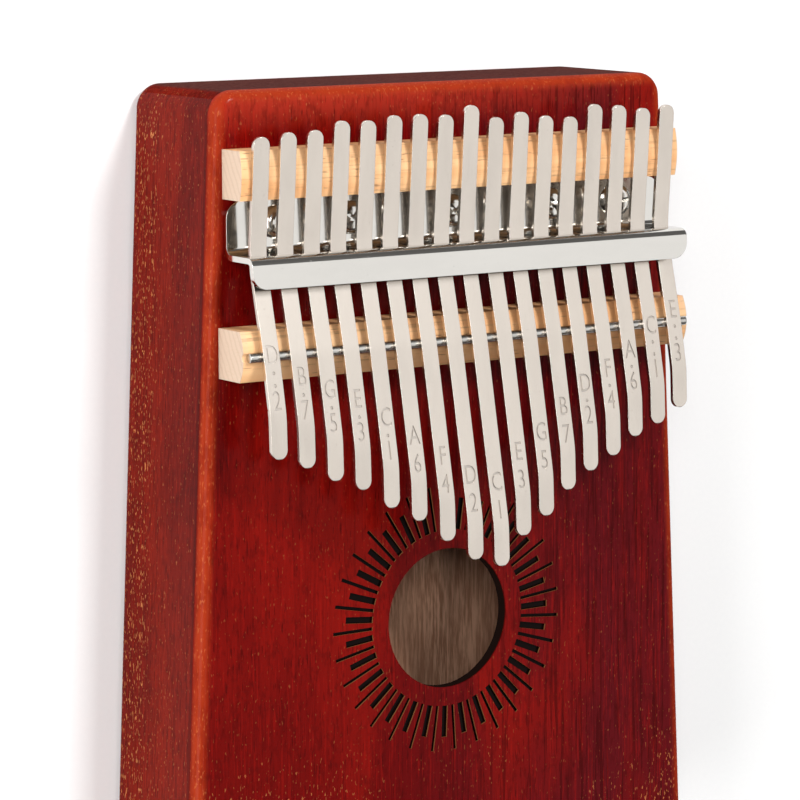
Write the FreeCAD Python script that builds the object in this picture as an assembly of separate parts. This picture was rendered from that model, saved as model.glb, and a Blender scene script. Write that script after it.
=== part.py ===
import FreeCAD, Part
import math
import os
from FreeCAD import Vector

# A seventeen-tine thumb piano on a hollow wooden box, lying on its back.
# +Z comes out of the sound board, +Y runs to the head end, +X is the player's right.
# The origin is the middle of the back face. Lengths are in millimetres.

# box
LENGTH = 185.0
WIDTH_HEAD = 119.4
WIDTH_TAIL = 135.6
DEPTH = 35.5
BOARD = 3.0
BACK = 3.0
SIDE_WALL = 6.0
END_WALL = 9.0
CORNER_RADIUS = 5.5
EDGE_ROUND = 2.5

# sound hole and engraved rays
HOLE_FROM_HEAD = 121.2
HOLE_RADIUS = 16.0
RAY_PAIRS = 31
RAY_INNER = 20.25
RAY_LONG_OUTER = 30.7
RAY_SHORT_OUTER = 27.5
RAY_LONG_WIDTH = 0.8
RAY_SHORT_WIDTH = 1.5
RAY_DEPTH = 0.7
FIRST_RAY_ANGLE = 87.8

# bridges and saddle rod
BACK_BRIDGE_FROM_HEAD = 12.4
BACK_BRIDGE_WIDTH = 10.7
BACK_BRIDGE_LENGTH = 116.4
BACK_BRIDGE_EDGE = 7.2
BACK_BRIDGE_CROWN = 8.0
FRONT_BRIDGE_FROM_HEAD = 50.9
FRONT_BRIDGE_WIDTH = 11.0
FRONT_BRIDGE_LENGTH = 119.0
FRONT_BRIDGE_EDGE = 8.7
FRONT_BRIDGE_CROWN = 10.3
SADDLE_FROM_HEAD = 56.4
ROD_RADIUS = 1.1
ROD_HEIGHT = 10.8
ROD_LENGTH = 117.0

# clamp plate, bent from one sheet
PLATE_LENGTH = 116.0
SHEET = 1.3
FLOOR_HEAD_EDGE = 23.6
WALL_FROM_HEAD = 36.3
LIP_FRONT_EDGE = 41.8
PLATE_HEIGHT = 12.2
LOWER_BEND = 3.0
UPPER_BEND = 2.2
PLATE_CORNER = 3.6
WINDOW_WIDTH = 4.7
WINDOW_SILL = 4.2

# screws
SCREW_X = (-45.5, -27.0, 0.0, 27.0, 45.5)
SCREW_FROM_HEAD = 28.6
SHANK_RADIUS = 1.6
SHANK_LENGTH = 11.0
SCREW_HEAD_RADIUS = 3.7
SCREW_HEAD_HEIGHT = 2.3
RECESS_WIDTH = 1.0
RECESS_SPAN = 4.4
RECESS_DEPTH = 1.3
BLOCK_DEPTH = 14.0

# tines: how far each tip stands in front of the saddle rod, and each held end
# from the head of the box, from the player's left to right
TINE_PITCH = 6.74
TINE_WIDTH = 4.0
TINE_THICKNESS = 1.0
TIP_REACH = (21.7, 24.1, 27.4, 29.9, 34.4, 37.8, 42.8, 47.5, 49.6,
             43.6, 39.9, 34.8, 31.2, 28.4, 24.7, 22.4, 19.3)
HELD_END = (9.3, 8.6, 8.4, 6.7, 6.9, 6.1, 6.1, 6.5, 4.7,
            7.6, 6.7, 7.8, 8.3, 5.8, 6.3, 7.2, 6.7)
FRONT_SLOPE = 0.207
REAR_SLOPE = 0.259
TIP_SLOPE = 0.04
TIP_FLAT = 9.0
HEAD_SLOPE = 0.07
PRESSED_BEND = 25.0
CROWN_BEND = 40.0
TIP_BEND = 6.0
SPLIT_GAP = 0.1

TOP = DEPTH
HEAD_Y = LENGTH / 2
WALL_BOTTOM = BACK
WALL_TOP = DEPTH - BOARD
SADDLE_Y = HEAD_Y - SADDLE_FROM_HEAD


def from_head(distance):
    return HEAD_Y - distance


def half_width(y):
    """Half of the box's width at y: it tapers evenly to the head."""
    share = (y + LENGTH / 2) / LENGTH
    return (WIDTH_TAIL + (WIDTH_HEAD - WIDTH_TAIL) * share) / 2


def save(name, shape):
    shape.exportStep(os.path.join("parts", name + ".step"))


def prism_across(points, length):
    """A solid from a (y, z) outline, centred on X = 0 and running along it."""
    corners = [Vector(-length / 2, y, z) for y, z in points]
    face = Part.Face(Part.makePolygon(corners + corners[:1]))
    return face.extrude(Vector(length, 0, 0))


def outline(inset_side, inset_end, z, height):
    """The tapered plan of the box, drawn in from its sides and ends."""
    head, tail = HEAD_Y - inset_end, -HEAD_Y + inset_end
    corners = [Vector(-half_width(tail) + inset_side, tail, z),
               Vector(half_width(tail) - inset_side, tail, z),
               Vector(half_width(head) - inset_side, head, z),
               Vector(-half_width(head) + inset_side, head, z)]
    face = Part.Face(Part.makePolygon(corners + corners[:1]))
    return face.extrude(Vector(0, 0, height))


def upright_edges(solid):
    return [e for e in solid.Edges
            if abs(e.tangentAt(e.FirstParameter).z) > 0.99 and len(e.Vertexes) == 2]


def edges_at(solid, z):
    return [e for e in solid.Edges if abs(e.BoundBox.ZMin - z) < 1e-4 and abs(e.BoundBox.ZMax - z) < 1e-4]


def rounded_slab(z, height):
    slab = outline(0, 0, z, height)
    return slab.makeFillet(CORNER_RADIUS, upright_edges(slab))


def ray(angle, outer, width):
    """One engraved groove: a bar that reaches RAY_DEPTH into the sound board."""
    bar = Part.makeBox(outer - RAY_INNER, width, 2 * RAY_DEPTH,
                       Vector(RAY_INNER, -width / 2, TOP - RAY_DEPTH))
    bar.rotate(Vector(0, 0, 0), Vector(0, 0, 1), angle)
    bar.translate(Vector(0, from_head(HOLE_FROM_HEAD), 0))
    return bar


def screw_shank(x, bottom, top):
    return Part.makeCylinder(SHANK_RADIUS, top - bottom, Vector(x, from_head(SCREW_FROM_HEAD), bottom))


def sound_board():
    slab = rounded_slab(WALL_TOP, BOARD)
    slab = slab.makeFillet(EDGE_ROUND, edges_at(slab, TOP))
    hole = Part.makeCylinder(HOLE_RADIUS, 2 * BOARD, Vector(0, from_head(HOLE_FROM_HEAD), WALL_TOP - 1))
    step = 360.0 / RAY_PAIRS
    cuts = [hole]
    for i in range(RAY_PAIRS):
        cuts.append(ray(FIRST_RAY_ANGLE + i * step, RAY_LONG_OUTER, RAY_LONG_WIDTH))
        cuts.append(ray(FIRST_RAY_ANGLE + (i + 0.5) * step, RAY_SHORT_OUTER, RAY_SHORT_WIDTH))
    cuts += [screw_shank(x, WALL_TOP - 1, TOP + 1) for x in SCREW_X]
    return slab.cut(Part.makeCompound(cuts))


def back_board():
    slab = rounded_slab(0, BACK)
    return slab.makeFillet(EDGE_ROUND, edges_at(slab, 0))


def wall_ring():
    """The four walls in one piece, before they are parted at the mitres."""
    height = WALL_TOP - WALL_BOTTOM
    return rounded_slab(WALL_BOTTOM, height).cut(outline(SIDE_WALL, END_WALL, WALL_BOTTOM - 1, height + 2))


def wedge(corners):
    points = [Vector(x, y, WALL_BOTTOM - 1) for x, y in corners]
    face = Part.Face(Part.makePolygon(points + points[:1]))
    return face.extrude(Vector(0, 0, WALL_TOP - WALL_BOTTOM + 2))


def walls():
    """The ring parted along the line from each inner corner to its outer corner."""
    ring = wall_ring()
    parts = {}
    for name, end in (("head_wall", 1), ("tail_wall", -1)):
        outer_y, inner_y = end * HEAD_Y, end * (HEAD_Y - END_WALL)
        outer_x, inner_x = half_width(outer_y), half_width(inner_y) - SIDE_WALL
        far_x, far_y = 2 * outer_x - inner_x, 2 * outer_y - inner_y
        region = wedge([(-inner_x, inner_y), (inner_x, inner_y), (far_x, far_y), (-far_x, far_y)])
        parts[name] = ring.common(region)
    sides = ring.cut(Part.makeCompound(list(parts.values())))
    for solid in sides.Solids:
        parts["left_side" if solid.CenterOfMass.x < 0 else "right_side"] = solid
    return parts


def clamp_block():
    """The block glued under the sound board, from side to side, that the screws bite in."""
    near, far = from_head(FRONT_BRIDGE_FROM_HEAD + FRONT_BRIDGE_WIDTH), from_head(BACK_BRIDGE_FROM_HEAD)
    corners = [Vector(-half_width(near) + SIDE_WALL, near, WALL_TOP - BLOCK_DEPTH),
               Vector(half_width(near) - SIDE_WALL, near, WALL_TOP - BLOCK_DEPTH),
               Vector(half_width(far) - SIDE_WALL, far, WALL_TOP - BLOCK_DEPTH),
               Vector(-half_width(far) + SIDE_WALL, far, WALL_TOP - BLOCK_DEPTH)]
    block = Part.Face(Part.makePolygon(corners + corners[:1])).extrude(Vector(0, 0, BLOCK_DEPTH))
    bottom = TOP + SHEET - SHANK_LENGTH
    return block.cut(Part.makeCompound([screw_shank(x, bottom, TOP) for x in SCREW_X]))


def crowned_bar(far_from_head, width, length, edge, crown):
    """A straight bar across the box with upright faces and an arched top."""
    front, back = from_head(far_from_head + width), from_head(far_from_head)
    x = -length / 2
    a, b = Vector(x, front, TOP), Vector(x, front, TOP + edge)
    c, d = Vector(x, back, TOP + edge), Vector(x, back, TOP)
    middle = Vector(x, (front + back) / 2, TOP + crown)
    wire = Part.Wire([Part.makeLine(a, b), Part.Arc(b, middle, c).toShape(),
                      Part.makeLine(c, d), Part.makeLine(d, a)])
    return Part.Face(wire).extrude(Vector(length, 0, 0))


def rod_solid(length):
    start = Vector(-length / 2, SADDLE_Y, TOP + ROD_HEIGHT)
    return Part.makeCylinder(ROD_RADIUS, length, start, Vector(1, 0, 0))


def saddle_rod():
    rod = rod_solid(ROD_LENGTH)
    return rod.makeFillet(0.3, [e for e in rod.Edges if e.BoundBox.XLength < 0.01])


def back_bridge():
    return crowned_bar(BACK_BRIDGE_FROM_HEAD, BACK_BRIDGE_WIDTH, BACK_BRIDGE_LENGTH,
                       BACK_BRIDGE_EDGE, BACK_BRIDGE_CROWN)


def front_bridge():
    bar = crowned_bar(FRONT_BRIDGE_FROM_HEAD, FRONT_BRIDGE_WIDTH, FRONT_BRIDGE_LENGTH,
                      FRONT_BRIDGE_EDGE, FRONT_BRIDGE_CROWN)
    return bar.cut(rod_solid(FRONT_BRIDGE_LENGTH + 2))


def strip_side(path, bends, offset):
    """Line and arc edges of one face of a bent strip.

    path is the (y, z) bend line, bends the radius at each inner point on the path's own side,
    and offset how far this face lies to the left of the path.
    """
    edges, last = [], None
    count = len(path)
    for i, (y, z) in enumerate(path):
        here = Vector(0, y, z)
        if 0 < i < count - 1:
            d1 = (here - Vector(0, *path[i - 1])).normalize()
            d2 = (Vector(0, *path[i + 1]) - here).normalize()
            turn = math.atan2(d1.y * d2.z - d1.z * d2.y, d1.dot(d2))
            reach = bends[i - 1] * math.tan(abs(turn) / 2)
            n1, n2 = Vector(0, -d1.z, d1.y), Vector(0, -d2.z, d2.y)
            start, end = here - d1 * reach, here + d2 * reach
            side = 1 if turn > 0 else -1
            centre = start + n1 * (side * bends[i - 1])
            top = (here - centre).normalize()
            radius = bends[i - 1] - side * offset
            edges.append(Part.makeLine(last, start + n1 * offset))
            edges.append(Part.Arc(start + n1 * offset, centre + top * radius, end + n2 * offset).toShape())
            last = end + n2 * offset
        else:
            other = Vector(0, *path[1 if i == 0 else i - 1])
            d = ((other - here) if i == 0 else (here - other)).normalize()
            point = here + Vector(0, -d.z, d.y) * offset
            if last is not None:
                edges.append(Part.makeLine(last, point))
            last = point
    return edges


def bent_strip(path, bends, thickness, x, width):
    """A strip of even thickness, left of its (y, z) path, extruded from x by width along +X."""
    lower, upper = strip_side(path, bends, 0), strip_side(path, bends, thickness)
    first, last = lower[0].firstVertex().Point, lower[-1].lastVertex().Point
    up_first, up_last = upper[0].firstVertex().Point, upper[-1].lastVertex().Point
    closing = [Part.makeLine(last, up_last), Part.makeLine(first, up_first)]
    wire = Part.Wire(Part.__sortEdges__(lower + upper + closing))
    solid = Part.Face(wire).extrude(Vector(width, 0, 0))
    solid.translate(Vector(x, 0, 0))
    return solid


def clamp_plate():
    """Floor, upright wall and forward lip, bent from one sheet, with a window for each tine."""
    floor_y, wall_y, lip_y = from_head(FLOOR_HEAD_EDGE), from_head(WALL_FROM_HEAD), from_head(LIP_FRONT_EDGE)
    path = [(floor_y, TOP + SHEET), (wall_y + SHEET, TOP + SHEET),
            (wall_y + SHEET, TOP + PLATE_HEIGHT), (lip_y, TOP + PLATE_HEIGHT)]
    plate = bent_strip(path, [LOWER_BEND - SHEET, UPPER_BEND], SHEET, -PLATE_LENGTH / 2, PLATE_LENGTH)
    corners = [e for e in upright_edges(plate)
               if abs(e.BoundBox.YMin - floor_y) < 1e-3 or abs(e.BoundBox.YMin - lip_y) < 1e-3]
    plate = plate.makeFillet(PLATE_CORNER, corners)
    sill, head = TOP + WINDOW_SILL, window_top()
    cuts = []
    for x in tine_positions():
        cuts.append(Part.makeBox(WINDOW_WIDTH, 4 * SHEET, head - sill,
                                 Vector(x - WINDOW_WIDTH / 2, wall_y - SHEET, sill)))
    cuts += [screw_shank(x, TOP - 1, TOP + SHEET + 1) for x in SCREW_X]
    return plate.cut(Part.makeCompound(cuts))


def screw(x):
    """A pan head with a cross recess, on a plain shank that stands for the thread."""
    seat, y = TOP + SHEET, from_head(SCREW_FROM_HEAD)
    head = Part.makeCylinder(SCREW_HEAD_RADIUS, SCREW_HEAD_HEIGHT, Vector(x, y, seat))
    rim = [e for e in head.Edges if abs(e.BoundBox.ZMin - seat - SCREW_HEAD_HEIGHT) < 1e-4
           and e.BoundBox.ZLength < 1e-4]
    head = head.makeFillet(0.8 * SCREW_HEAD_HEIGHT, rim)
    bottom = seat - SHANK_LENGTH
    shank = screw_shank(x, bottom, seat)
    floor = seat + SCREW_HEAD_HEIGHT - RECESS_DEPTH
    slots = []
    for dx, dy in ((RECESS_SPAN, RECESS_WIDTH), (RECESS_WIDTH, RECESS_SPAN)):
        slot = Part.makeBox(dx, dy, 2 * RECESS_DEPTH, Vector(x - dx / 2, y - dy / 2, floor))
        slot.rotate(Vector(x, y, floor), Vector(0, 0, 1), 45 + 13 * x)
        slots.append(slot)
    return head.fuse(shank).cut(slots[0].fuse(slots[1])).removeSplitter()


def tine_positions():
    return [(i - 8) * TINE_PITCH for i in range(17)]


def saddle_point():
    """Where the tines' undersides cross the upright line over the saddle rod."""
    return TOP + ROD_HEIGHT + ROD_RADIUS * math.hypot(1, REAR_SLOPE)


def pressed_point():
    """The corner of the undersides where the clamp plate's wall presses the tines down."""
    y = from_head(WALL_FROM_HEAD - SHEET / 2)
    return y, saddle_point() - REAR_SLOPE * (y - SADDLE_Y)


def window_top():
    """The windows' upper edge rests on the tines' tops where they cross the wall."""
    wall = Part.makeBox(TINE_WIDTH, SHEET, 2 * TOP, Vector(-TINE_WIDTH / 2, from_head(WALL_FROM_HEAD), 0))
    crossing = held_end(0, HELD_END[8]).common(wall)
    return crossing.optimalBoundingBox().ZMax + 0.02


def rear_path(held_end):
    """Underside of the held end, from its round end over the back bridge to the saddle rod."""
    low_y, low_z = pressed_point()
    crown_y, crown_z = from_head(BACK_BRIDGE_FROM_HEAD + BACK_BRIDGE_WIDTH / 2), TOP + BACK_BRIDGE_CROWN + 0.1
    end_y = from_head(held_end)
    return [(end_y, crown_z + HEAD_SLOPE * (end_y - crown_y)), (crown_y, crown_z),
            (low_y, low_z), (SADDLE_Y + SPLIT_GAP, saddle_point() - REAR_SLOPE * SPLIT_GAP)]


def front_path(reach):
    """Underside of the free tongue, from the saddle rod to the tip."""
    kink = reach - TIP_FLAT
    rise = saddle_point() + FRONT_SLOPE * kink
    return [(SADDLE_Y - SPLIT_GAP, saddle_point() + FRONT_SLOPE * SPLIT_GAP), (SADDLE_Y - kink, rise),
            (SADDLE_Y - reach, rise + TIP_SLOPE * TIP_FLAT)]


def round_end(x, y_end, y_open):
    """A tall slab with one round end at y_end that trims a strip to the tine's plan."""
    radius = TINE_WIDTH / 2
    sign = 1 if y_end > y_open else -1
    centre = Vector(x, y_end - sign * radius, 0)
    low, high = sorted((centre.y, y_open + (-sign) * 1.0))
    slab = Part.makeBox(TINE_WIDTH, high - low, 3 * TOP, Vector(x - radius, low, 0))
    return slab.fuse(Part.makeCylinder(radius, 3 * TOP, centre))


def held_end(x, from_head_end):
    path = rear_path(from_head_end)
    strip = bent_strip(path[::-1], [PRESSED_BEND, CROWN_BEND], TINE_THICKNESS,
                       x - TINE_WIDTH / 2, TINE_WIDTH)
    return strip.common(round_end(x, path[0][0], path[-1][0]))


def tongue(x, reach):
    path = front_path(reach)
    strip = bent_strip(path, [TIP_BEND], -TINE_THICKNESS, x - TINE_WIDTH / 2, TINE_WIDTH)
    return strip.common(round_end(x, path[-1][0], path[0][0]))


def main():
    os.makedirs("parts", exist_ok=True)
    save("sound_board", sound_board())
    save("back_board", back_board())
    for name, wall in walls().items():
        save(name, wall)
    save("clamp_block", clamp_block())
    save("back_bridge", back_bridge())
    save("front_bridge", front_bridge())
    save("saddle_rod", saddle_rod())
    save("clamp_plate", clamp_plate())
    save("clamp_screws", Part.makeCompound([screw(x) for x in SCREW_X]))
    for i, x in enumerate(tine_positions()):
        save("held_end_%02d" % (i + 1), held_end(x, HELD_END[i]))
        save("tongue_%02d" % (i + 1), tongue(x, TIP_REACH[i]))


main()
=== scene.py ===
import math

import bmesh
import bpy
from mathutils import Matrix, Vector


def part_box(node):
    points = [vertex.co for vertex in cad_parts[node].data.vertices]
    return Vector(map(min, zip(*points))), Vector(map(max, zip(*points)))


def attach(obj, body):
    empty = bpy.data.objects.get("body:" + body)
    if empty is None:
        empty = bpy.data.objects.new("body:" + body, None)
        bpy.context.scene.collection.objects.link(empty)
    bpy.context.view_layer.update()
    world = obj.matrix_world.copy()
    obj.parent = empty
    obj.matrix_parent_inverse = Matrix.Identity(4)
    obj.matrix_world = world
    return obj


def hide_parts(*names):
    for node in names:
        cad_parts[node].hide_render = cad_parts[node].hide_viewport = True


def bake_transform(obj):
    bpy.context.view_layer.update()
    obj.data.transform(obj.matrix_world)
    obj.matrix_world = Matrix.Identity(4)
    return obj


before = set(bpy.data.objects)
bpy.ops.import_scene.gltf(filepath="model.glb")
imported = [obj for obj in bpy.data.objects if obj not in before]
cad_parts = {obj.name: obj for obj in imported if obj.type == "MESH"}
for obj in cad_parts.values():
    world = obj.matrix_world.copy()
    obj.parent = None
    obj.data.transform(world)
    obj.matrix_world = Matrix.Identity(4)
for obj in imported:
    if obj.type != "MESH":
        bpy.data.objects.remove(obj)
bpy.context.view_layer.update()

bl_info = {
    "name": "Thumb piano",
    "version": (1, 0, 0),
    "blender": (4, 5, 0),
    "location": "View3D > Sidebar > Thumb piano",
    "description": "Seventeen steel tines on a hollow red box: finishes, tines and studio",
    "category": "Add Mesh",
}

MM = 1000.0  # millimetres in a metre

# Places and sizes in metres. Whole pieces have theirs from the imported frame.
BOX_LOW, BOX_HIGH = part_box("sound_board")
TOP = BOX_HIGH.z
LENGTH = BOX_HIGH.y - BOX_LOW.y
WIDTH_HEAD, WIDTH_TAIL = 0.1194, 0.1356
HOLE_Y = BOX_HIGH.y - 0.1212
ROD_LOW, ROD_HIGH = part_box("saddle_rod")
ROD_Y = (ROD_LOW.y + ROD_HIGH.y) / 2
ROD_Z = (ROD_LOW.z + ROD_HIGH.z) / 2
ROD_RADIUS = 0.0011
PLATE_LOW, PLATE_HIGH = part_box("clamp_plate")
CROWN_LOW, CROWN_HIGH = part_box("back_bridge")

# The clamp plate: its upright wall, the radii of its two bends and its windows.
WALL_Y = PLATE_LOW.y + 0.0068
LOWER_INSIDE, UPPER_OUTSIDE = 0.0017, 0.0022
WINDOW_SILL, WINDOW_HEAD, WINDOW_HALF = 0.0042, 0.04321, 0.00235

# The tines: where the bar presses them, their gap over the back bridge's crown, the
# reach of their four bends from the tip to the head, and the steps of a rounded end.
PRESSED_Y = PLATE_LOW.y + 0.00615
CROWN_GAP = 0.0001
BEND_REACH = (0.0018, 0.0012, 0.0042, 0.003)
TIP_STEPS = 6

# The note marks: from tip to number, on to the letter past 0, 1 or 2 dots, the dots and
# their radii, the tries of a cut, and the share of the cutter that a good cut takes away.
NUMBER_FROM_TIP = 0.0122
LETTER_FROM_NUMBER = (0.0061, 0.0071, 0.0097)
FIRST_DOT, NEXT_DOT = 0.0034, 0.0027
DOT_FLOOR, DOT_MOUTH = 0.00028, 0.00048
MARK_TRIES, MARK_GROWTH = 8, 0.006
LEAST_CUT, MOST_CUT = 0.3, 0.7

# Points closer than the first are joined. Edges over the angles, in radians, are
# rounded by a bevel or stay sharp in the shading.
WELD = 1e-6
EDGE_ANGLE, SHARP_ANGLE = 0.9, 0.8

# From the left: each tine's letter and number, and its count of octave dots.
TINES = range(1, 18)
NOTES = ("D 2", "B 7", "G 5", "E 3", "C 1", "A 6", "F 4", "D 2", "C 1",
         "E 3", "G 5", "B 7", "D 2", "F 4", "A 6", "C 1", "E 3")
DOTS = (2, 1, 1, 1, 1, 0, 0, 0, 0, 0, 0, 0, 1, 1, 1, 2, 2)


# ---------------------------------------------------------------- materials

# Colours that aren't settings, and depths of relief in metres.
# The first colour below is a painted highlight: the sheen of light along the board's head margin,
# painted into its colour.
PAINTED_HEAD_HIGHLIGHT, RIM_GOLD = (0.36, 0.026, 0.012), (0.70, 0.22, 0.07)
SOOT, PALE_SOOT = (0.050, 0.013, 0.010), (0.085, 0.026, 0.020)
BARE_DARK, BARE_LIGHT, BARE_BAND = (0.40, 0.19, 0.11), (0.85, 0.50, 0.33), (0.50, 0.26, 0.16)
GROOVE_LIP, GROOVE_FLOOR = (0.22, 0.085, 0.032), (0.004, 0.002, 0.0015)
# The hole's wall: a burnt edge with the shade inside the hole painted into its near-black colour.
HOLE_WALL_WITH_SHADE = (0.010, 0.005, 0.004)
BEECH_LINE, BEECH_DASH = (0.42, 0.23, 0.11), (0.20, 0.09, 0.04)
END_GRAIN, END_RING, END_RAY = (0.58, 0.435, 0.325), (0.39, 0.27, 0.185), (0.50, 0.32, 0.20)
PAPER_DARK, PAPER_LIGHT = (0.90, 0.90, 0.90), (0.93, 0.93, 0.925)
WOOD_RELIEF, TINE_RELIEF, PLATE_RELIEF, ROD_RELIEF = 0.00003, 0.0000025, 0.000002, 0.000003
COAT = {"board": 0.08, "ends": 0.03, "side": 0.15, "back": 0.15}


class Value:
    """A socket of a material's tree. Arithmetic on it adds Math nodes."""

    def __init__(self, finish, socket):
        self.finish, self.socket = finish, socket

    def sum(self, operation, *others):
        """A Math node on this value and the others."""
        return self.finish.node("ShaderNodeMath", {"operation": operation},
                                [self, *others]).out()

    def __add__(self, other): return self.sum("ADD", other)
    def __sub__(self, other): return self.sum("SUBTRACT", other)
    def __mul__(self, other): return self.sum("MULTIPLY", other)
    def __truediv__(self, other): return self.sum("DIVIDE", other)
    def __rsub__(self, other): return self.sum("MULTIPLY", -1.0) + other
    __radd__, __rmul__ = __add__, __mul__

    def abs(self): return self.sum("ABSOLUTE")
    def power(self, n): return self.sum("POWER", n)
    def least(self, other): return self.sum("MINIMUM", other)
    def most(self, other): return self.sum("MAXIMUM", other)

    def step(self, low, high):
        """0 below low and 1 above high, smooth between; low may be the greater."""
        if low > high:
            return 1.0 - self.step(high, low)
        return self.finish.node("ShaderNodeMapRange", {"interpolation_type": "SMOOTHSTEP"},
                                [self, low, high, 0.0, 1.0]).out("Result")


class Made:
    """A node that is in a tree, with its outputs by name."""

    def __init__(self, finish, node):
        self.finish, self.node = finish, node

    def out(self, name=0):
        """One output, by its name or its place."""
        return Value(self.finish, self.node.outputs[name])


class Finish:
    """A material under way: its object coordinates, textures, mixes and closing shader."""

    def __init__(self, name):
        self.material = bpy.data.materials.new(name)
        self.material.use_nodes = True
        self.tree = self.material.node_tree
        self.tree.nodes.clear()
        self.place = self.node("ShaderNodeTexCoord").out("Object")
        parts = self.node("ShaderNodeSeparateXYZ", {}, [self.place])
        self.x, self.y, self.z = (parts.out(n) * MM for n in "XYZ")

    def node(self, kind, settings=None, inputs=()):
        """Adds a node: its settings first, then the values or links of its sockets."""
        node = self.tree.nodes.new(kind)
        for key, value in (settings or {}).items():
            if key == "stops":
                ramp = node.color_ramp
                for at, colour in value[2:]:
                    ramp.elements.new(at)
                for element, (at, colour) in zip(ramp.elements, value):
                    element.position, element.color = at, (*colour, 1.0)
            else:
                setattr(node, key, value)
        pairs = inputs.items() if isinstance(inputs, dict) else enumerate(inputs)
        for key, value in pairs:
            if isinstance(value, Value):
                self.tree.links.new(value.socket, node.inputs[key])
            elif value is not None:
                node.inputs[key].default_value = value
        return Made(self, node)

    def stretched(self, sx, sy, sz, shift=0.0):
        """The object coordinates scaled apart along the axes, in cycles per metre."""
        return self.node("ShaderNodeMapping", {}, {
            "Vector": self.place,
            "Location": (shift, shift * 0.7, -shift),
            "Scale": (sx, sy, sz),
        }).out()

    def noise(self, vector, detail, rough, warp=0.0):
        """A cloud from 0 to 1 over stretched coordinates."""
        return self.node("ShaderNodeTexNoise", {}, {
            "Vector": vector, "Scale": 1.0, "Detail": detail,
            "Roughness": rough, "Distortion": warp,
        }).out("Fac")

    def mix(self, factor, a, b):
        """Colour a where the factor is 0 and colour b where it is 1."""
        made = self.node("ShaderNodeMix", {"data_type": "RGBA", "clamp_factor": True}, {0: factor})
        for index, colour in ((6, a), (7, b)):
            if isinstance(colour, Value):
                self.tree.links.new(colour.socket, made.node.inputs[index])
            else:
                made.node.inputs[index].default_value = (*colour, 1.0)
        return made.out(2)

    def bump(self, height, distance, strength):
        """A normal with fine relief, its depth in metres."""
        return self.node("ShaderNodeBump", {}, {
            "Strength": strength, "Distance": distance, "Height": height,
        }).out()

    def close(self, **sockets):
        """Adds the shader with these sockets and the output, and gives the material."""
        shader = self.tree.nodes.new("ShaderNodeBsdfPrincipled")
        for name, value in sockets.items():
            socket = shader.inputs[name.replace("_", " ")]
            if isinstance(value, Value):
                self.tree.links.new(value.socket, socket)
            else:
                socket.default_value = (*value, 1.0) if isinstance(value, tuple) else value
        output = self.tree.nodes.new("ShaderNodeOutputMaterial")
        self.tree.links.new(shader.outputs[0], output.inputs[0])
        return self.material


def shaded(colour, factor=1.0):
    """A colour made darker or lighter, as a plain tuple."""
    return tuple(c * factor for c in colour)


def edge_distances(f):
    """How far a point is inside the box's tapered sides, its ends and its front, in mm."""
    half_mm = MM / 2
    share = (f.y + LENGTH * half_mm) / (LENGTH * MM)
    half = WIDTH_TAIL * half_mm + share * ((WIDTH_HEAD - WIDTH_TAIL) * half_mm)
    return half - f.x.abs(), LENGTH * half_mm - f.y.abs(), TOP * MM - f.z


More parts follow.
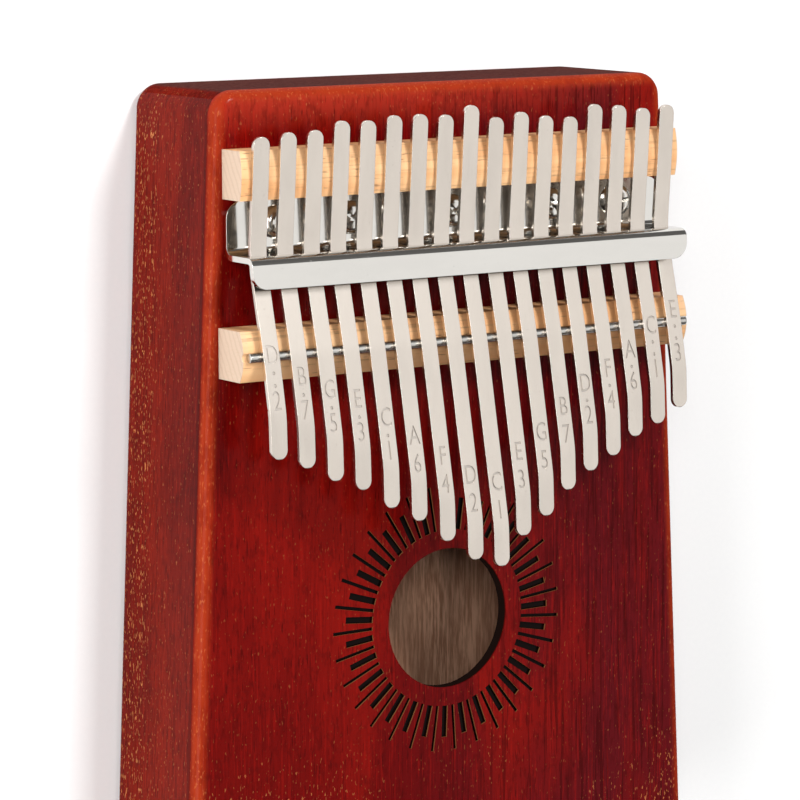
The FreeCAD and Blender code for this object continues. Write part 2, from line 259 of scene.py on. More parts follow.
def stained_box(settings, name, role):
    """Red stained mahogany: the grain runs along Y, and the stain thins at the rounded edges."""
    f = Finish(name)
    side, end, depth = edge_distances(f)
    worn = side.least(end)
    deep, mid = shaded(settings.stain_deep), shaded(settings.stain)
    if role != "board":
        deep, mid = shaded(settings.side_deep), shaded(settings.side_stain)
    broad = f.noise(f.stretched(34, 6, 34), 3, 0.6, 0.5)
    cloud = f.noise(f.stretched(110, 45, 110, 6.0), 3, 0.6)
    streak = f.noise(f.stretched(1250, 38, 1250), 3, 0.55)
    fine = f.noise(f.stretched(2100, 95, 2100, 3.0), 2, 0.6)
    mottle = f.noise(f.stretched(800, 330, 800, 8.0), 2, 0.6)

    # The figure: broad bands of stain, dark streaks, fine lines and mottling; on the board also a
    # painted highlight near the head end.
    right = f.x.step(-30.0, 45.0) if role == "board" else cloud * 0.6
    colour = f.mix(broad.step(0.36, 0.64), deep, mid)
    if role == "board":
        plum = shaded(settings.plum)
        colour = f.mix(right * broad.step(0.66, 0.40) * 0.85, colour, plum)
        # Painted highlight: near the head end the board turns lighter and more orange, standing in
        # for the sheen of light on the head margin.
        head_highlight = end.step(11.0, 1.5) * f.y.step(0.0, 20.0) * f.x.step(75.0, -25.0)
        colour = f.mix(head_highlight * 0.8, colour, PAINTED_HEAD_HIGHLIGHT)
        # Darker towards the lower left of the board.
        low_left = f.x.step(-12.0, -48.0) * f.y.step(-22.0, -52.0)
        colour = f.mix(low_left * 0.6, colour, deep)
    streaked = streak.step(0.50, 0.64) * (0.18 + 0.45 * right)
    colour = f.mix(streaked, colour, shaded(deep, 0.30))
    colour = f.mix(fine.step(0.53, 0.68) * 0.24, colour, shaded(mid, 1.9))
    colour = f.mix(mottle.step(0.52, 0.30) * 0.35, colour, shaded(deep, 0.45))

    # The pores: gold where they gather, dark elsewhere.
    clusters = f.noise(f.stretched(34, 15, 60, 5.0), 3, 0.55)
    if role == "board":
        low = f.y.step(-52.0, -72.0)
        head = end.step(9.0, 3.0) * f.y.step(0.0, 20.0)
        where = (0.85 * low + 0.25 * head + 0.05 * side.step(24.0, 6.0)).least(1.0)
        many = clusters.step(0.42, 0.60) * where
    else:
        back = f.z.step(15.0, 9.0) * (worn.step(12.0, 3.0) if role == "back" else 1.0)
        near_back = 0.85 * back * clusters.step(0.34, 0.46)
        many = (0.18 + near_back + 0.15 * clusters.step(0.45, 0.60)).least(1.0)
    pores = f.noise(f.stretched(2500, 850, 2500, 7.0), 1, 0.4)
    fleck = (pores + 0.085 * many).step(0.700, 0.760)
    dark_pore = f.noise(f.stretched(2400, 240, 2400, 11.0), 1, 0.4).step(0.64, 0.72)
    colour = f.mix(dark_pore * 0.5, colour, shaded(deep, 0.3))
    tone = f.noise(f.stretched(900, 400, 900, 13.0), 1, 0.4)
    gold = f.mix(tone.step(0.35, 0.65), shaded(settings.fleck), shaded(settings.fleck, 0.6))
    colour = f.mix(fleck * (0.2 + 0.55 * many), colour, gold)

    # The rounded edges: a dark line beside a rim that is worn to orange.
    rim = worn.step(3.4, 0.8) * depth.step(3.2, 1.6)
    patch = f.noise(f.stretched(330, 150, 330, 2.0), 3, 0.65).step(0.3, 0.62)
    line = depth.step(2.5, 3.0) * depth.step(4.4, 3.6) * worn.step(1.2, 0.4)
    colour = f.mix(line * 0.5, colour, shaded(deep, 0.4))
    colour = f.mix(rim * (0.55 + 0.45 * patch), colour, shaded(settings.stain_edge))
    rim_fleck = (pores + 0.05).step(0.66, 0.74) * rim
    colour = f.mix(rim_fleck * 0.22, colour, RIM_GOLD)

    rough = 0.34 + 0.10 * broad + 0.12 * fleck
    height = streak * 0.35 - dark_pore * 1.0 - fleck * 0.7
    if role == "board":
        colour, rough = engraved_rays(f, colour, rough)
    if role == "back":
        inside = f.z.step(2.9, 2.97) * worn.step(4.0, 4.5)
        colour = f.mix(inside, colour, bare_inside(f))
    if role == "ends":
        face = end.step(0.6, 0.1)
        colour = f.mix(face * 0.85, colour, f.mix(streak.step(0.35, 0.7), SOOT, PALE_SOOT))
    if role in ("side", "ends"):
        inner = worn.step(5.4, 5.9)
        colour = f.mix(inner, colour, bare_inside(f))
    return f.close(Base_Color=colour, Roughness=rough, Specular_IOR_Level=0.0,
                   Coat_Weight=COAT[role], Coat_Roughness=0.16,
                   Normal=f.bump(height, WOOD_RELIEF, 0.6))


def bare_inside(f):
    """Unstained wood inside the box, a dull brown with fine lengthwise grain."""
    grain = f.noise(f.stretched(1500, 110, 1500, 4.0), 3, 0.65)
    wide = f.noise(f.stretched(90, 14, 90, 9.0), 2, 0.5)
    colour = f.mix(grain.step(0.36, 0.66), BARE_DARK, BARE_LIGHT)
    return f.mix(wide.step(0.35, 0.7) * 0.45, colour, BARE_BAND)


def engraved_rays(f, colour, rough):
    """The engraved grooves, burnt dark with a bare tan lip at the surface, and the hole's wall,
    near-black: its burnt edge with painted shade.
    """
    x, y = f.x, f.y - HOLE_Y * MM
    radius = (x * x + y * y).power(0.5)
    depth = TOP * MM - f.z
    ring = radius.step(19.6, 20.0) * radius.step(31.6, 31.0)
    cut = depth.step(0.01, 0.03) * ring
    colour = f.mix(cut, colour, GROOVE_LIP)
    colour = f.mix(depth.step(0.26, 0.50) * ring, colour, GROOVE_FLOOR)
    # The hole's wall, painted near-black: its burnt edge and painted shade from inside the hole.
    wall = radius.step(16.12, 16.04) * depth.step(0.15, 0.45)
    colour = f.mix(wall, colour, HOLE_WALL_WITH_SHADE)
    return colour, rough.most((cut + wall) * 0.8)


def pale_bridge(settings):
    """Bare beech bar: grain along X with short dark flecks, and end grain on its two ends."""
    f = Finish("Pale beech")
    broad = f.noise(f.stretched(14, 160, 160), 3, 0.55, 0.3)
    line = f.noise(f.stretched(30, 1500, 1500, 2.0), 2, 0.55)
    dash = f.noise(f.stretched(260, 2400, 2400, 6.0), 1, 0.4)
    colour = f.mix(broad.step(0.34, 0.66), shaded(settings.beech), shaded(settings.beech_warm))
    colour = f.mix(line.step(0.54, 0.74) * 0.55, colour, BEECH_LINE)
    colour = f.mix(dash.step(0.66, 0.74) * 0.6, colour, BEECH_DASH)
    across = f.x.abs()
    back_ends = across.step(58.05, 58.15) * f.y.step(30.0, 60.0)
    ends = (back_ends + across.step(59.35, 59.45)).least(1.0)
    rings = f.node("ShaderNodeTexWave", {"wave_type": "BANDS", "bands_direction": "DIAGONAL"}, {
        "Vector": f.stretched(60, 190, 330), "Scale": 1.0, "Distortion": 2.2,
        "Detail": 2.0, "Detail Scale": 1.5,
    }).out("Fac")
    ray = f.noise(f.stretched(300, 2600, 500, 8.0), 2, 0.5)
    end_colour = f.mix(rings.step(0.55, 0.95) * 0.25, END_GRAIN, END_RING)
    end_colour = f.mix(ray.step(0.55, 0.75) * 0.25, end_colour, END_RAY)
    colour = f.mix(ends, colour, end_colour)
    height = line * 0.5 - dash.step(0.66, 0.74)
    return f.close(Base_Color=colour, Roughness=0.52 + 0.12 * broad, Specular_IOR_Level=0.4,
                   Normal=f.bump(height, WOOD_RELIEF, 0.5))


def satin_tine(settings):
    """Nickel-plated spring steel: fine lengthwise lines, soft clouding and a few specks."""
    f = Finish("Tine steel")
    lines = f.noise(f.stretched(5200, 60, 5200), 2, 0.6)
    cloud = f.noise(f.stretched(130, 45, 130, 4.0), 3, 0.6)
    specks = f.noise(f.stretched(2500, 2200, 2500, 9.0), 1, 0.4).step(0.70, 0.78)
    base = shaded(settings.tine)
    colour = f.mix(cloud.step(0.3, 0.75) * 0.5, base, shaded(base, 0.86))
    colour = f.mix(specks * 0.25, colour, shaded(base, 0.6))
    rough = 0.17 + 0.08 * cloud + 0.04 * lines
    return f.close(Base_Color=colour, Metallic=1.0, Roughness=rough,
                   Normal=f.bump(lines + specks * -0.5, TINE_RELIEF, 0.5))


def pressed_mark(settings):
    """The floor and walls of the pressed note marks: the same steel, a little duller."""
    f = Finish("Pressed mark")
    grain = f.noise(f.stretched(2500, 2500, 2500), 2, 0.5)
    base = shaded(settings.tine)
    return f.close(Base_Color=f.mix(grain, shaded(base, 0.62), shaded(base, 0.76)),
                   Metallic=1.0, Roughness=0.34 + 0.08 * grain)


def bright_plate(settings, name, roughness):
    """Polished nickel plating with faint wiping marks and a few fine pits."""
    f = Finish(name)
    cloud = f.noise(f.stretched(60, 200, 200), 3, 0.6)
    wipe = f.noise(f.stretched(25, 1800, 1800, 3.0), 2, 0.5)
    pits = f.noise(f.stretched(1800, 1800, 1800, 5.0), 1, 0.4).step(0.72, 0.80)
    base = shaded(settings.nickel)
    colour = f.mix(cloud.step(0.3, 0.7) * 0.35, base, shaded(base, 0.92))
    colour = f.mix(pits * 0.3, colour, shaded(base, 0.55))
    rough = roughness + 0.06 * cloud + 0.1 * pits
    return f.close(Base_Color=colour, Metallic=1.0, Roughness=rough,
                   Normal=f.bump(wipe - pits, PLATE_RELIEF, 0.4))


def drawn_rod(settings):
    """Drawn wire with fine scratches round it and soft clouding along it."""
    f = Finish("Drawn rod")
    scratch = f.noise(f.stretched(2400, 80, 80), 2, 0.6)
    cloud = f.noise(f.stretched(150, 300, 300, 3.0), 2, 0.6)
    base = shaded(settings.nickel, 0.8)
    colour = f.mix(cloud.step(0.35, 0.7) * 0.5, base, shaded(base, 0.7))
    return f.close(Base_Color=colour, Metallic=1.0, Roughness=0.16 + 0.14 * cloud,
                   Normal=f.bump(scratch, ROD_RELIEF, 0.5))


def inner_block():
    """Bare wood of the block that the plate's screws hold in."""
    f = Finish("Inner block wood")
    grain = f.noise(f.stretched(800, 60, 800), 2, 0.5)
    return f.close(Base_Color=bare_inside(f), Roughness=0.7 + 0.1 * grain)


# ---------------------------------------------------------------- shapes

def wear(node, material):
    """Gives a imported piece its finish."""
    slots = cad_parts[node].data.materials
    slots.clear()
    slots.append(material)


def add_object(name, mesh, material=None):
    """Puts a mesh or a text into the scene, at the origin."""
    thing = bpy.data.objects.new(name, mesh)
    bpy.context.scene.collection.objects.link(thing)
    if material:
        mesh.materials.clear()
        mesh.materials.append(material)
    return thing


def finish_stack(thing):
    """The object's modifiers become its mesh, and its place goes into its vertices."""
    bpy.context.view_layer.update()
    graph = bpy.context.evaluated_depsgraph_get()
    mesh = bpy.data.meshes.new_from_object(thing.evaluated_get(graph), depsgraph=graph)
    mesh.name = thing.name
    mesh.transform(thing.matrix_world)
    old, name = thing.data, thing.name
    if thing.type != "MESH":
        bpy.data.objects.remove(thing)
        bpy.data.curves.remove(old)
        return add_object(name, mesh)
    thing.modifiers.clear()
    thing.data = mesh
    thing.matrix_world = Matrix.Identity(4)
    bpy.data.meshes.remove(old)
    return thing


def ramp(distance, reach):
    """A bend: 0 before it, the distance past it after it, and a smooth turn within reach."""
    if distance <= -reach:
        return 0.0
    if distance >= reach:
        return distance
    return (distance + reach) ** 2 / (4 * reach)


class TineLine:
    """The underside of one tine as a height over Y, bent where the real strip is bent."""

    def __init__(self, settings, number):
        held_low, held_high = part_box("held_end_%02d" % number)
        free_low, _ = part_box("tongue_%02d" % number)
        self.x = (held_low.x + held_high.x) / 2
        self.width = held_high.x - held_low.x
        self.head_y, self.tip_y = held_high.y, free_low.y
        saddle_z = ROD_Z + ROD_RADIUS * math.hypot(1, settings.rear_slope)
        crown_y = (CROWN_LOW.y + CROWN_HIGH.y) / 2
        pressed_z = saddle_z - settings.rear_slope * (PRESSED_Y - ROD_Y)
        rise = (CROWN_HIGH.z + CROWN_GAP - pressed_z) / (crown_y - PRESSED_Y)
        kink = self.tip_y + settings.tip_flat
        slopes = (-settings.tip_slope, -settings.front_slope, -settings.rear_slope,
                  rise, settings.head_slope)
        places = (kink, ROD_Y, PRESSED_Y, crown_y)
        self.bends = list(zip(places, slopes, slopes[1:], BEND_REACH))
        kink_z = saddle_z + settings.front_slope * (ROD_Y - kink)
        self.tip_z = kink_z + settings.tip_slope * settings.tip_flat

    def height(self, y):
        """The height of the underside at y."""
        z = self.tip_z + self.bends[0][1] * (y - self.tip_y)
        for at, before, after, reach in self.bends:
            z += (after - before) * ramp(y - at, reach)
        return z

    def slope(self, y):
        """The rise of the underside at y, from two points close to it."""
        near = 1e-5
        return (self.height(y + near) - self.height(y - near)) / (2 * near)

    def stations(self):
        """Y values from tip to head, close together where the strip bends."""
        radius, per_bend, count, least_gap = self.width / 2, 3, 14, 0.00035
        ys = set()
        for at, _, _, reach in self.bends:
            ys.update(at + reach * k / per_bend for k in range(-per_bend, per_bend + 1))
        first, last = self.tip_y + radius, self.head_y - radius
        ys.update(first + (last - first) * k / count for k in range(count + 1))
        ys = sorted(y for y in ys if first - WELD <= y <= last + WELD)
        kept = [ys[0]]
        for y in ys[1:]:
            if y - kept[-1] > least_gap:
                kept.append(y)
        kept[-1] = last
        return kept


def tine_cage(name, line):
    """A two-column strip along the tine with round ends, as its underside."""
    radius = line.width / 2
    turns = [math.pi / 2 * k / TIP_STEPS for k in range(1, TIP_STEPS)]
    arc = [(radius * (1 - math.cos(turn)), radius * math.sin(turn)) for turn in turns]
    rows = [(line.tip_y + along, half) for along, half in arc]
    rows += [(y, radius) for y in line.stations()]
    rows += [(line.head_y - along, half) for along, half in reversed(arc)]
    points = [(line.x, line.tip_y, line.height(line.tip_y))]
    for y, half in rows:
        z = line.height(y)
        points += [(line.x - half, y, z), (line.x + half, y, z)]
    points.append((line.x, line.head_y, line.height(line.head_y)))
    faces = [(0, 2, 1)]
    for k in range(len(rows) - 1):
        a = 1 + 2 * k
        faces.append((a, a + 1, a + 3, a + 2))
    last = len(points) - 1
    faces.append((last, last - 2, last - 1))
    mesh = bpy.data.meshes.new(name)
    mesh.from_pydata(points, [], faces)
    mesh.update()
    return mesh


def character(text, size, depth):
    """A character as a thin solid about its own middle."""
    curve = bpy.data.curves.new("mark", "FONT")
    curve.body, curve.size = text, size
    curve.align_x, curve.align_y = "CENTER", "CENTER"
    curve.extrude, curve.resolution_u = depth, 3
    solid = finish_stack(add_object("mark", curve))
    merge(solid.data)
    return solid


def dot(depth):
    """A small dot, the octave mark, as a cutter about its own middle."""
    mesh = bpy.data.meshes.new("mark")
    bm = bmesh.new()
    bmesh.ops.create_cone(bm, cap_ends=True, segments=14, radius1=DOT_FLOOR,
                          radius2=DOT_MOUTH, depth=2 * depth)
    bm.to_mesh(mesh)
    bm.free()
    return add_object("mark", mesh)


def volume(mesh):
    """The volume inside a mesh in cubic millimetres."""
    bm = bmesh.new()
    bm.from_mesh(mesh)
    inside = bm.calc_volume(signed=True) * MM ** 3
    bm.free()
    return inside


def press_mark(tine, make_cutter, place, slope, material):
    """Cuts one mark into the tine's face, and tries a cut that fails again slightly larger."""
    before = volume(tine.data)
    for attempt in range(MARK_TRIES):
        cutter = make_cutter(1 + MARK_GROWTH * attempt)
        solid = volume(cutter.data)
        turn = Matrix.Rotation(math.atan(slope), 4, "X")
        cutter.data.transform(Matrix.Translation(place) @ turn)
        cut = tine.modifiers.new("Mark", "BOOLEAN")
        cut.operation, cut.solver, cut.object = "DIFFERENCE", "EXACT", cutter
        cut.material_mode = "TRANSFER"
        cutter.data.materials.append(material)
        bpy.context.view_layer.update()
        graph = bpy.context.evaluated_depsgraph_get()
        result = bpy.data.meshes.new_from_object(tine.evaluated_get(graph), depsgraph=graph)
        tine.modifiers.clear()
        shape = cutter.data
        bpy.data.objects.remove(cutter)
        bpy.data.meshes.remove(shape)
        if LEAST_CUT * solid < before - volume(result) < MOST_CUT * solid:
            old, name = tine.data, tine.data.name
            tine.data = result
            bpy.data.meshes.remove(old)
            result.name = name
            return
        bpy.data.meshes.remove(result)
    raise RuntimeError("a mark could not be cut into " + tine.name)


def mark_tine(tine, line, settings, number, material):
    """Cuts the note's letter, octave dots and number into the tongue's upper face."""
    letter, figure = NOTES[number - 1].split()
    dots = DOTS[number - 1]
    depth, size = settings.mark_depth, settings.mark_size
    base = line.tip_y + NUMBER_FROM_TIP

    def on_top(y):
        """The point of the upper face at y, and the slope there."""
        slope = line.slope(y)
        normal = Vector((0, -slope, 1)).normalized()
        return Vector((line.x, y, line.height(y))) + normal * settings.tine_thickness, slope

    for text, y in ((figure, base), (letter, base + LETTER_FROM_NUMBER[dots])):
        def stamped(scale, text=text):
            cutter = character(text, size * scale, depth)
            cutter.data.transform(Matrix.Diagonal((settings.mark_narrow, 1, 1, 1)))
            return cutter
        press_mark(tine, stamped, *on_top(y), material)
    for k in range(dots):
        place, slope = on_top(base + FIRST_DOT + NEXT_DOT * k)
        press_mark(tine, lambda scale: dot(depth * scale), place, slope, material)


def thicken(thing, thickness, offset, rounding):
    """A sheet becomes a solid with rounded edges."""
    wall = thing.modifiers.new("Thickness", "SOLIDIFY")
    wall.thickness, wall.offset, wall.use_even_offset = thickness, offset, True
    edge = thing.modifiers.new("Edge", "BEVEL")
    edge.width, edge.segments = rounding, 3
    edge.limit_method, edge.angle_limit = "ANGLE", EDGE_ANGLE
    finish_stack(thing)


def make_tine(settings, number, material, mark_material):
    """One tine: a bent strip with its marks."""
    line, name = TineLine(settings, number), "tine_%02d" % number
    tine = add_object(name, tine_cage(name, line), material)
    thicken(tine, settings.tine_thickness, 1.0, settings.tine_edge)
    mark_tine(tine, line, settings, number, mark_material)
    tine.data.shade_smooth()
    tine.data.set_sharp_from_angle(angle=SHARP_ANGLE)
    even = tine.modifiers.new("Normals", "WEIGHTED_NORMAL")
    even.keep_sharp = True
    finish_stack(tine)
    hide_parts("held_end_%02d" % number, "tongue_%02d" % number)
    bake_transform(tine)


def merge(mesh):
    """Joins vertices that lie together, such as a text's caps and its sides."""
    bm = bmesh.new()
    bm.from_mesh(mesh)
    bmesh.ops.remove_doubles(bm, verts=bm.verts, dist=WELD)
    bm.to_mesh(mesh)
    bm.free()


def plate_rows(sheet, corner):
    """The plate's upper side, back edge to lip: (y, z, distance to the nearer free edge)."""
    floor_z, lip_z = PLATE_LOW.z + sheet, PLATE_HIGH.z
    rounding = [corner - corner * math.cos(math.radians(a)) for a in range(0, 91, 15)]
    turns = [math.pi / 2 * k / 6 for k in range(7)]
    middle = (PLATE_HIGH.y - corner + WALL_Y + LOWER_INSIDE) / 2
    rows = [(PLATE_HIGH.y - t, floor_z, t) for t in rounding]
    rows.append((middle, floor_z, corner))
    rows += [(WALL_Y + LOWER_INSIDE * (1 - math.sin(turn)),
              floor_z + LOWER_INSIDE * (1 - math.cos(turn)), corner) for turn in turns]
    rows.append((WALL_Y, PLATE_LOW.z + WINDOW_SILL, corner))
    rows.append((WALL_Y, WINDOW_HEAD, corner))
    rows += [(WALL_Y - UPPER_OUTSIDE * (1 - math.cos(turn)),
              lip_z - UPPER_OUTSIDE * (1 - math.sin(turn)), corner) for turn in turns]
    rows += [(PLATE_LOW.y + t, lip_z, t) for t in reversed(rounding)]
    return rows


def make_plate(settings, material):
    """The bent clamp plate: one sheet with seventeen windows, rolled edges and rounded corners."""
    half, corner, sheet = PLATE_HIGH.x, settings.plate_corner, settings.plate_thickness
    rows = plate_rows(sheet, corner)
    columns = [-half]
    for number in TINES:
        low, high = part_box("held_end_%02d" % number)
        middle = (low.x + high.x) / 2
        columns += [middle - WINDOW_HALF, middle + WINDOW_HALF]
    columns.append(half)
    inner = half - corner
    points, faces = [], []
    for y, z, t in rows:
        end = inner + math.sqrt(max(corner ** 2 - (corner - t) ** 2, 0.0))
        for x in columns:
            if abs(x) > inner:
                x = math.copysign(inner + (abs(x) - inner) * (end - inner) / (half - inner), x)
            points.append((x, y, z))
    wide = len(columns)
    sill = PLATE_LOW.z + WINDOW_SILL
    window_row = next(k for k, row in enumerate(rows) if row[1] == sill)
    for r in range(len(rows) - 1):
        for c in range(wide - 1):
            if r == window_row and c % 2 == 1:
                continue
            a = r * wide + c
            faces.append((a, a + wide, a + wide + 1, a + 1))
    mesh = bpy.data.meshes.new("clamp_plate_sheet")
    mesh.from_pydata(points, [], faces)
    merge(mesh)
    plate = add_object("clamp_plate_sheet", mesh, material)
    thicken(plate, sheet, -1.0, settings.plate_edge)
    plate.data.shade_smooth()
    even = plate.modifiers.new("Normals", "WEIGHTED_NORMAL")
    even.weight = 90
    finish_stack(plate)
    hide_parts("clamp_plate")
    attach(plate, "box")


# ---------------------------------------------------------------- settings

class BoxSettings(bpy.types.PropertyGroup):
    """Colours of the box and its bridges, linear"""

    stain: bpy.props.FloatVectorProperty(
        name="Stain", description="Main red of the stained mahogany",
        subtype="COLOR", default=(0.185, 0.0038, 0.0020), min=0, max=1)
    stain_deep: bpy.props.FloatVectorProperty(
        name="Deep stain", description="Darker red between the figure",
        subtype="COLOR", default=(0.105, 0.0012, 0.0012), min=0, max=1)
    stain_edge: bpy.props.FloatVectorProperty(
        name="Edge stain", description="Orange red where the stain thins",
        subtype="COLOR", default=(0.315, 0.030, 0.0085), min=0, max=1)
    plum: bpy.props.FloatVectorProperty(
        name="Plum figure", description="Cooler dark figure towards the right",
        subtype="COLOR", default=(0.085, 0.0035, 0.0060), min=0, max=1)
    side_stain: bpy.props.FloatVectorProperty(
        name="Side stain", description="Main red of the walls",
        subtype="COLOR", default=(0.168, 0.0080, 0.0030), min=0, max=1)
    side_deep: bpy.props.FloatVectorProperty(
        name="Deep side stain", description="Darker red of the walls",
        subtype="COLOR", default=(0.100, 0.0040, 0.0025), min=0, max=1)
    fleck: bpy.props.FloatVectorProperty(
        name="Pore flecks", description="Gold of the filled pores",
        subtype="COLOR", default=(0.55, 0.19, 0.06), min=0, max=1)
    beech: bpy.props.FloatVectorProperty(
        name="Beech", description="Pale wood of the bridges",
        subtype="COLOR", default=(0.90, 0.55, 0.28), min=0, max=1)
    beech_warm: bpy.props.FloatVectorProperty(
        name="Warm beech", description="Warmer bands of the bridges",
        subtype="COLOR", default=(0.78, 0.39, 0.165), min=0, max=1)


class TineSettings(bpy.types.PropertyGroup):
    """Colours and sizes of the tines, their marks and the clamp plate"""

    tine: bpy.props.FloatVectorProperty(
        name="Tine", description="Colour of the plated tines",
        subtype="COLOR", default=(0.62, 0.56, 0.50), min=0, max=1)
    nickel: bpy.props.FloatVectorProperty(
        name="Nickel", description="Colour of the polished plate",
        subtype="COLOR", default=(0.64, 0.62, 0.585), min=0, max=1)
    tine_thickness: bpy.props.FloatProperty(
        name="Thickness", description="Thickness of a tine",
        subtype="DISTANCE", unit="LENGTH", default=0.001, min=0.0005)
    tine_edge: bpy.props.FloatProperty(
        name="Edge", description="Rounding of a tine's edges",
        subtype="DISTANCE", unit="LENGTH", default=0.00038, min=0.00002)
    front_slope: bpy.props.FloatProperty(
        name="Front slope", description="Rise of a tongue towards its tip",
        default=0.207, min=0)
    rear_slope: bpy.props.FloatProperty(
        name="Rear slope", description="Rise from the plate to the rod",
        default=0.259, min=0)
    tip_slope: bpy.props.FloatProperty(
        name="Tip slope", description="Rise of the flattened tip",
        default=0.04, min=0)
    head_slope: bpy.props.FloatProperty(
        name="Head slope", description="Rise behind the back bridge",
        default=0.07, min=0)
    plate_thickness: bpy.props.FloatProperty(
        name="Sheet", description="Thickness of the clamp plate",
        subtype="DISTANCE", unit="LENGTH", default=0.0013, min=0.0005)
    plate_corner: bpy.props.FloatProperty(
        name="Plate corner", description="Radius of the clamp plate's corners",
        subtype="DISTANCE", unit="LENGTH", default=0.0036, min=0.0005)
    plate_edge: bpy.props.FloatProperty(
        name="Plate edge", description="Rounding of the clamp plate's edges",
        subtype="DISTANCE", unit="LENGTH", default=0.00055, min=0.00005)
    tip_flat: bpy.props.FloatProperty(
        name="Tip length", description="Length of the flattened tip",
        subtype="DISTANCE", unit="LENGTH", default=0.009, min=0.001)
    mark_depth: bpy.props.FloatProperty(
        name="Mark depth", description="Depth of the note marks",
        subtype="DISTANCE", unit="LENGTH", default=0.00018, min=0.00001)
    mark_size: bpy.props.FloatProperty(
        name="Mark size", description="Type size of the note marks",
        subtype="DISTANCE", unit="LENGTH", default=0.0060, min=0.001)
    mark_narrow: bpy.props.FloatProperty(
        name="Mark width", description="Width of the note marks to their normal width",
        default=0.72, min=0.1)


class StudioSettings(bpy.types.PropertyGroup):
    """The camera's lens and the powers of the lights"""

    lens: bpy.props.FloatProperty(
        name="Lens", description="Focal length in millimetres",
        default=173.76, min=20)
    panel: bpy.props.FloatProperty(
        name="Overhead panel", description="Power of the wide overhead panel",
        subtype="POWER", unit="POWER", default=2.85, min=0)
    key: bpy.props.FloatProperty(
        name="Back key", description="Power of the small light behind and to the right",
        subtype="POWER", unit="POWER", default=10.0, min=0)
    crest: bpy.props.FloatProperty(
        name="Top strip", description="Power of the narrow strip above the box",
        subtype="POWER", unit="POWER", default=1.0, min=0)
    fill: bpy.props.FloatProperty(
        name="Front fill", description="Power of the small light in front and to the left",
        subtype="POWER", unit="POWER", default=2.8, min=0)
    strip: bpy.props.FloatProperty(
        name="Left strip", description="Power of the strip light on the left",
        subtype="POWER", unit="POWER", default=12.0, min=0)
    room: bpy.props.FloatProperty(
        name="Room light", description="Brightness of the room",
        default=0.15, min=0)


# ---------------------------------------------------------------- operators

class FinishBox(bpy.types.Operator):
    """Stain the box's boards and walls, and leave the inside and the bridges bare"""
    bl_idname = "thumb_piano.finish_box"
    bl_label = "Finish the box"

    def execute(self, context):
        s = context.scene.thumb_piano_box
        wear("sound_board", stained_box(s, "Stained sound board", "board"))
        wear("back_board", stained_box(s, "Stained back board", "back"))
        side = stained_box(s, "Stained side", "side")
        ends = stained_box(s, "Stained end wall", "ends")
        wear("left_side", side)
        wear("right_side", side)
        wear("head_wall", ends)
        wear("tail_wall", ends)
        wear("clamp_block", inner_block())
        beech = pale_bridge(s)
        wear("back_bridge", beech)
        wear("front_bridge", beech)
        return {"FINISHED"}


class MakeClampPlate(bpy.types.Operator):
    """Bend the clamp plate from its sheet, with a window for each tine"""
    bl_idname = "thumb_piano.make_clamp_plate"
    bl_label = "Make the clamp plate"

    def execute(self, context):
        s = context.scene.thumb_piano_tines
        make_plate(s, bright_plate(s, "Bright nickel", 0.07))
        return {"FINISHED"}


class FinishHardware(bpy.types.Operator):
    """Plate the clamp plate's screws and finish the saddle rod"""
    bl_idname = "thumb_piano.finish_hardware"
    bl_label = "Finish the screws and rod"

    def execute(self, context):
        s = context.scene.thumb_piano_tines
        wear("clamp_screws", bright_plate(s, "Screw nickel", 0.12))
        wear("saddle_rod", drawn_rod(s))
        return {"FINISHED"}


class MakeTines(bpy.types.Operator):
    """Make the seventeen bent tines with their note marks"""
    bl_idname = "thumb_piano.make_tines"
    bl_label = "Make the tines"

    def execute(self, context):
        s = context.scene.thumb_piano_tines
        steel, mark = satin_tine(s), pressed_mark(s)
        for number in TINES:
            make_tine(s, number, steel, mark)
        return {"FINISHED"}


# The studio, in metres. The camera stands above the box's left and looks down to the right.
CAMERA_PLACE = (-0.480288, 0.144683, 0.746660)
CAMERA_RIGHT = (0.8353133, -0.0034260, 0.5497635)
CAMERA_DOWN = (-0.0811840, -0.9897865, 0.1171832)
CAMERA_AHEAD = (0.5437470, -0.1425167, -0.8270600)
SENSOR_WIDTH_MM, NEAREST_SEEN = 36.0, 0.01
LIT_POINT = (0, 0.02, 0.03)
ROOM_COLOUR = (1.0, 0.985, 0.97, 1.0)
FLOOR_HALF, FLOOR_DROP = 3, 0.0002


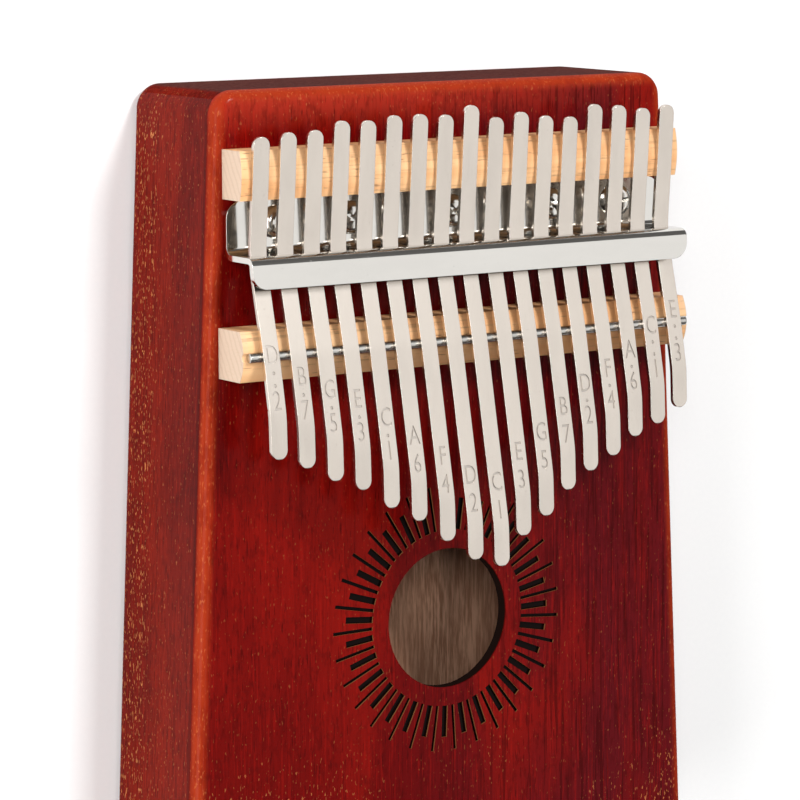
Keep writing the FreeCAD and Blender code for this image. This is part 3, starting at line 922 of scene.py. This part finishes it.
class SetStudio(bpy.types.Operator):
    """Lay the pale floor, hang the soft lights and place the camera"""
    bl_idname = "thumb_piano.set_studio"
    bl_label = "Set up the studio"

    def execute(self, context):
        s = context.scene.thumb_piano_studio
        self.floor()
        self.light("Overhead panel", (0.68, 0.045, 1.02), 0.75, 1.15, s.panel)
        self.light("Back key", (0.24, 0.70, 0.98), 0.28, 0.28, s.key)
        self.light("Left strip", (-1.00, 0.10, 0.55), 0.55, 1.3, s.strip)
        self.light("Top strip", (-0.16, -0.10, 1.10), 0.10, 0.8, s.crest)
        self.light("Front fill", (-0.60, 0.32, 1.00), 0.25, 0.25, s.fill)
        self.room(context, s)
        self.camera(context, s)
        context.scene.view_settings.view_transform = "Standard"
        return {"FINISHED"}

    def floor(self):
        """A sheet of pale paper a hair below the box, so the two faces never meet."""
        h = FLOOR_HALF
        mesh = bpy.data.meshes.new("Floor")
        mesh.from_pydata([(-h, -h, 0), (h, -h, 0), (h, h, 0), (-h, h, 0)], [], [(0, 1, 2, 3)])
        f = Finish("Pale paper")
        paper = f.noise(f.stretched(900, 900, 900), 2, 0.5)
        colour = f.mix(paper, PAPER_DARK, PAPER_LIGHT)
        pale = f.close(Base_Color=colour, Roughness=0.9, Specular_IOR_Level=0.2)
        floor = add_object("Floor", mesh, pale)
        floor.location.z = -FLOOR_DROP

    def light(self, name, place, across, along, power):
        """An area light facing the tines, with its second side along Y."""
        lamp = bpy.data.lights.new(name, "AREA")
        lamp.shape, lamp.size, lamp.size_y, lamp.energy = "RECTANGLE", across, along, power
        thing = bpy.data.objects.new(name, lamp)
        bpy.context.scene.collection.objects.link(thing)
        back = (Vector(place) - Vector(LIT_POINT)).normalized()
        side = Vector((0, 1, 0)).cross(back).normalized()
        turn = Matrix((side, back.cross(side), back)).transposed().to_4x4()
        thing.matrix_world = Matrix.Translation(place) @ turn

    def room(self, context, s):
        """The even light of a white room."""
        world = bpy.data.worlds.new("White room")
        context.scene.world = world
        world.use_nodes = True
        background = world.node_tree.nodes["Background"]
        background.inputs[0].default_value = ROOM_COLOUR
        background.inputs[1].default_value = s.room

    def camera(self, context, s):
        """A long lens without depth of field, set by where it stands and its three axes."""
        lens = bpy.data.cameras.new("Camera")
        lens.lens, lens.sensor_width, lens.clip_start = s.lens, SENSOR_WIDTH_MM, NEAREST_SEEN
        thing = bpy.data.objects.new("Camera", lens)
        context.scene.collection.objects.link(thing)
        axes = Vector(CAMERA_RIGHT), -Vector(CAMERA_DOWN), -Vector(CAMERA_AHEAD)
        turn = Matrix(axes).transposed().to_4x4()
        thing.matrix_world = Matrix.Translation(CAMERA_PLACE) @ turn
        context.scene.camera = thing


class ThumbPianoPanel(bpy.types.Panel):
    """Sizes, colours and steps of the thumb piano"""
    bl_idname = "VIEW3D_PT_thumb_piano"
    bl_label = "Thumb piano"
    bl_space_type = "VIEW_3D"
    bl_region_type = "UI"
    bl_category = "Thumb piano"

    def draw(self, context):
        for group in ("thumb_piano_box", "thumb_piano_tines", "thumb_piano_studio"):
            settings = getattr(context.scene, group)
            column = self.layout.column()
            for name in settings.bl_rna.properties.keys():
                if name not in ("rna_type", "name"):
                    column.prop(settings, name)
        for step in STEPS:
            self.layout.operator(step.bl_idname)


STEPS = (FinishBox, MakeClampPlate, FinishHardware, MakeTines, SetStudio)
CLASSES = (BoxSettings, TineSettings, StudioSettings, *STEPS, ThumbPianoPanel)


def register():
    """Registers the classes and puts the settings on the scene."""
    for cls in CLASSES:
        bpy.utils.register_class(cls)
    bpy.types.Scene.thumb_piano_box = bpy.props.PointerProperty(type=BoxSettings)
    bpy.types.Scene.thumb_piano_tines = bpy.props.PointerProperty(type=TineSettings)
    bpy.types.Scene.thumb_piano_studio = bpy.props.PointerProperty(type=StudioSettings)


def unregister():
    """Takes away what register put in place."""
    del bpy.types.Scene.thumb_piano_box
    del bpy.types.Scene.thumb_piano_tines
    del bpy.types.Scene.thumb_piano_studio
    for cls in reversed(CLASSES):
        bpy.utils.unregister_class(cls)


def main():
    """Builds the whole scene in order."""
    register()
    bpy.ops.thumb_piano.finish_box()
    bpy.ops.thumb_piano.make_clamp_plate()
    bpy.ops.thumb_piano.finish_hardware()
    bpy.ops.thumb_piano.make_tines()
    bpy.ops.thumb_piano.set_studio()


if __name__ == "__main__":
    main()
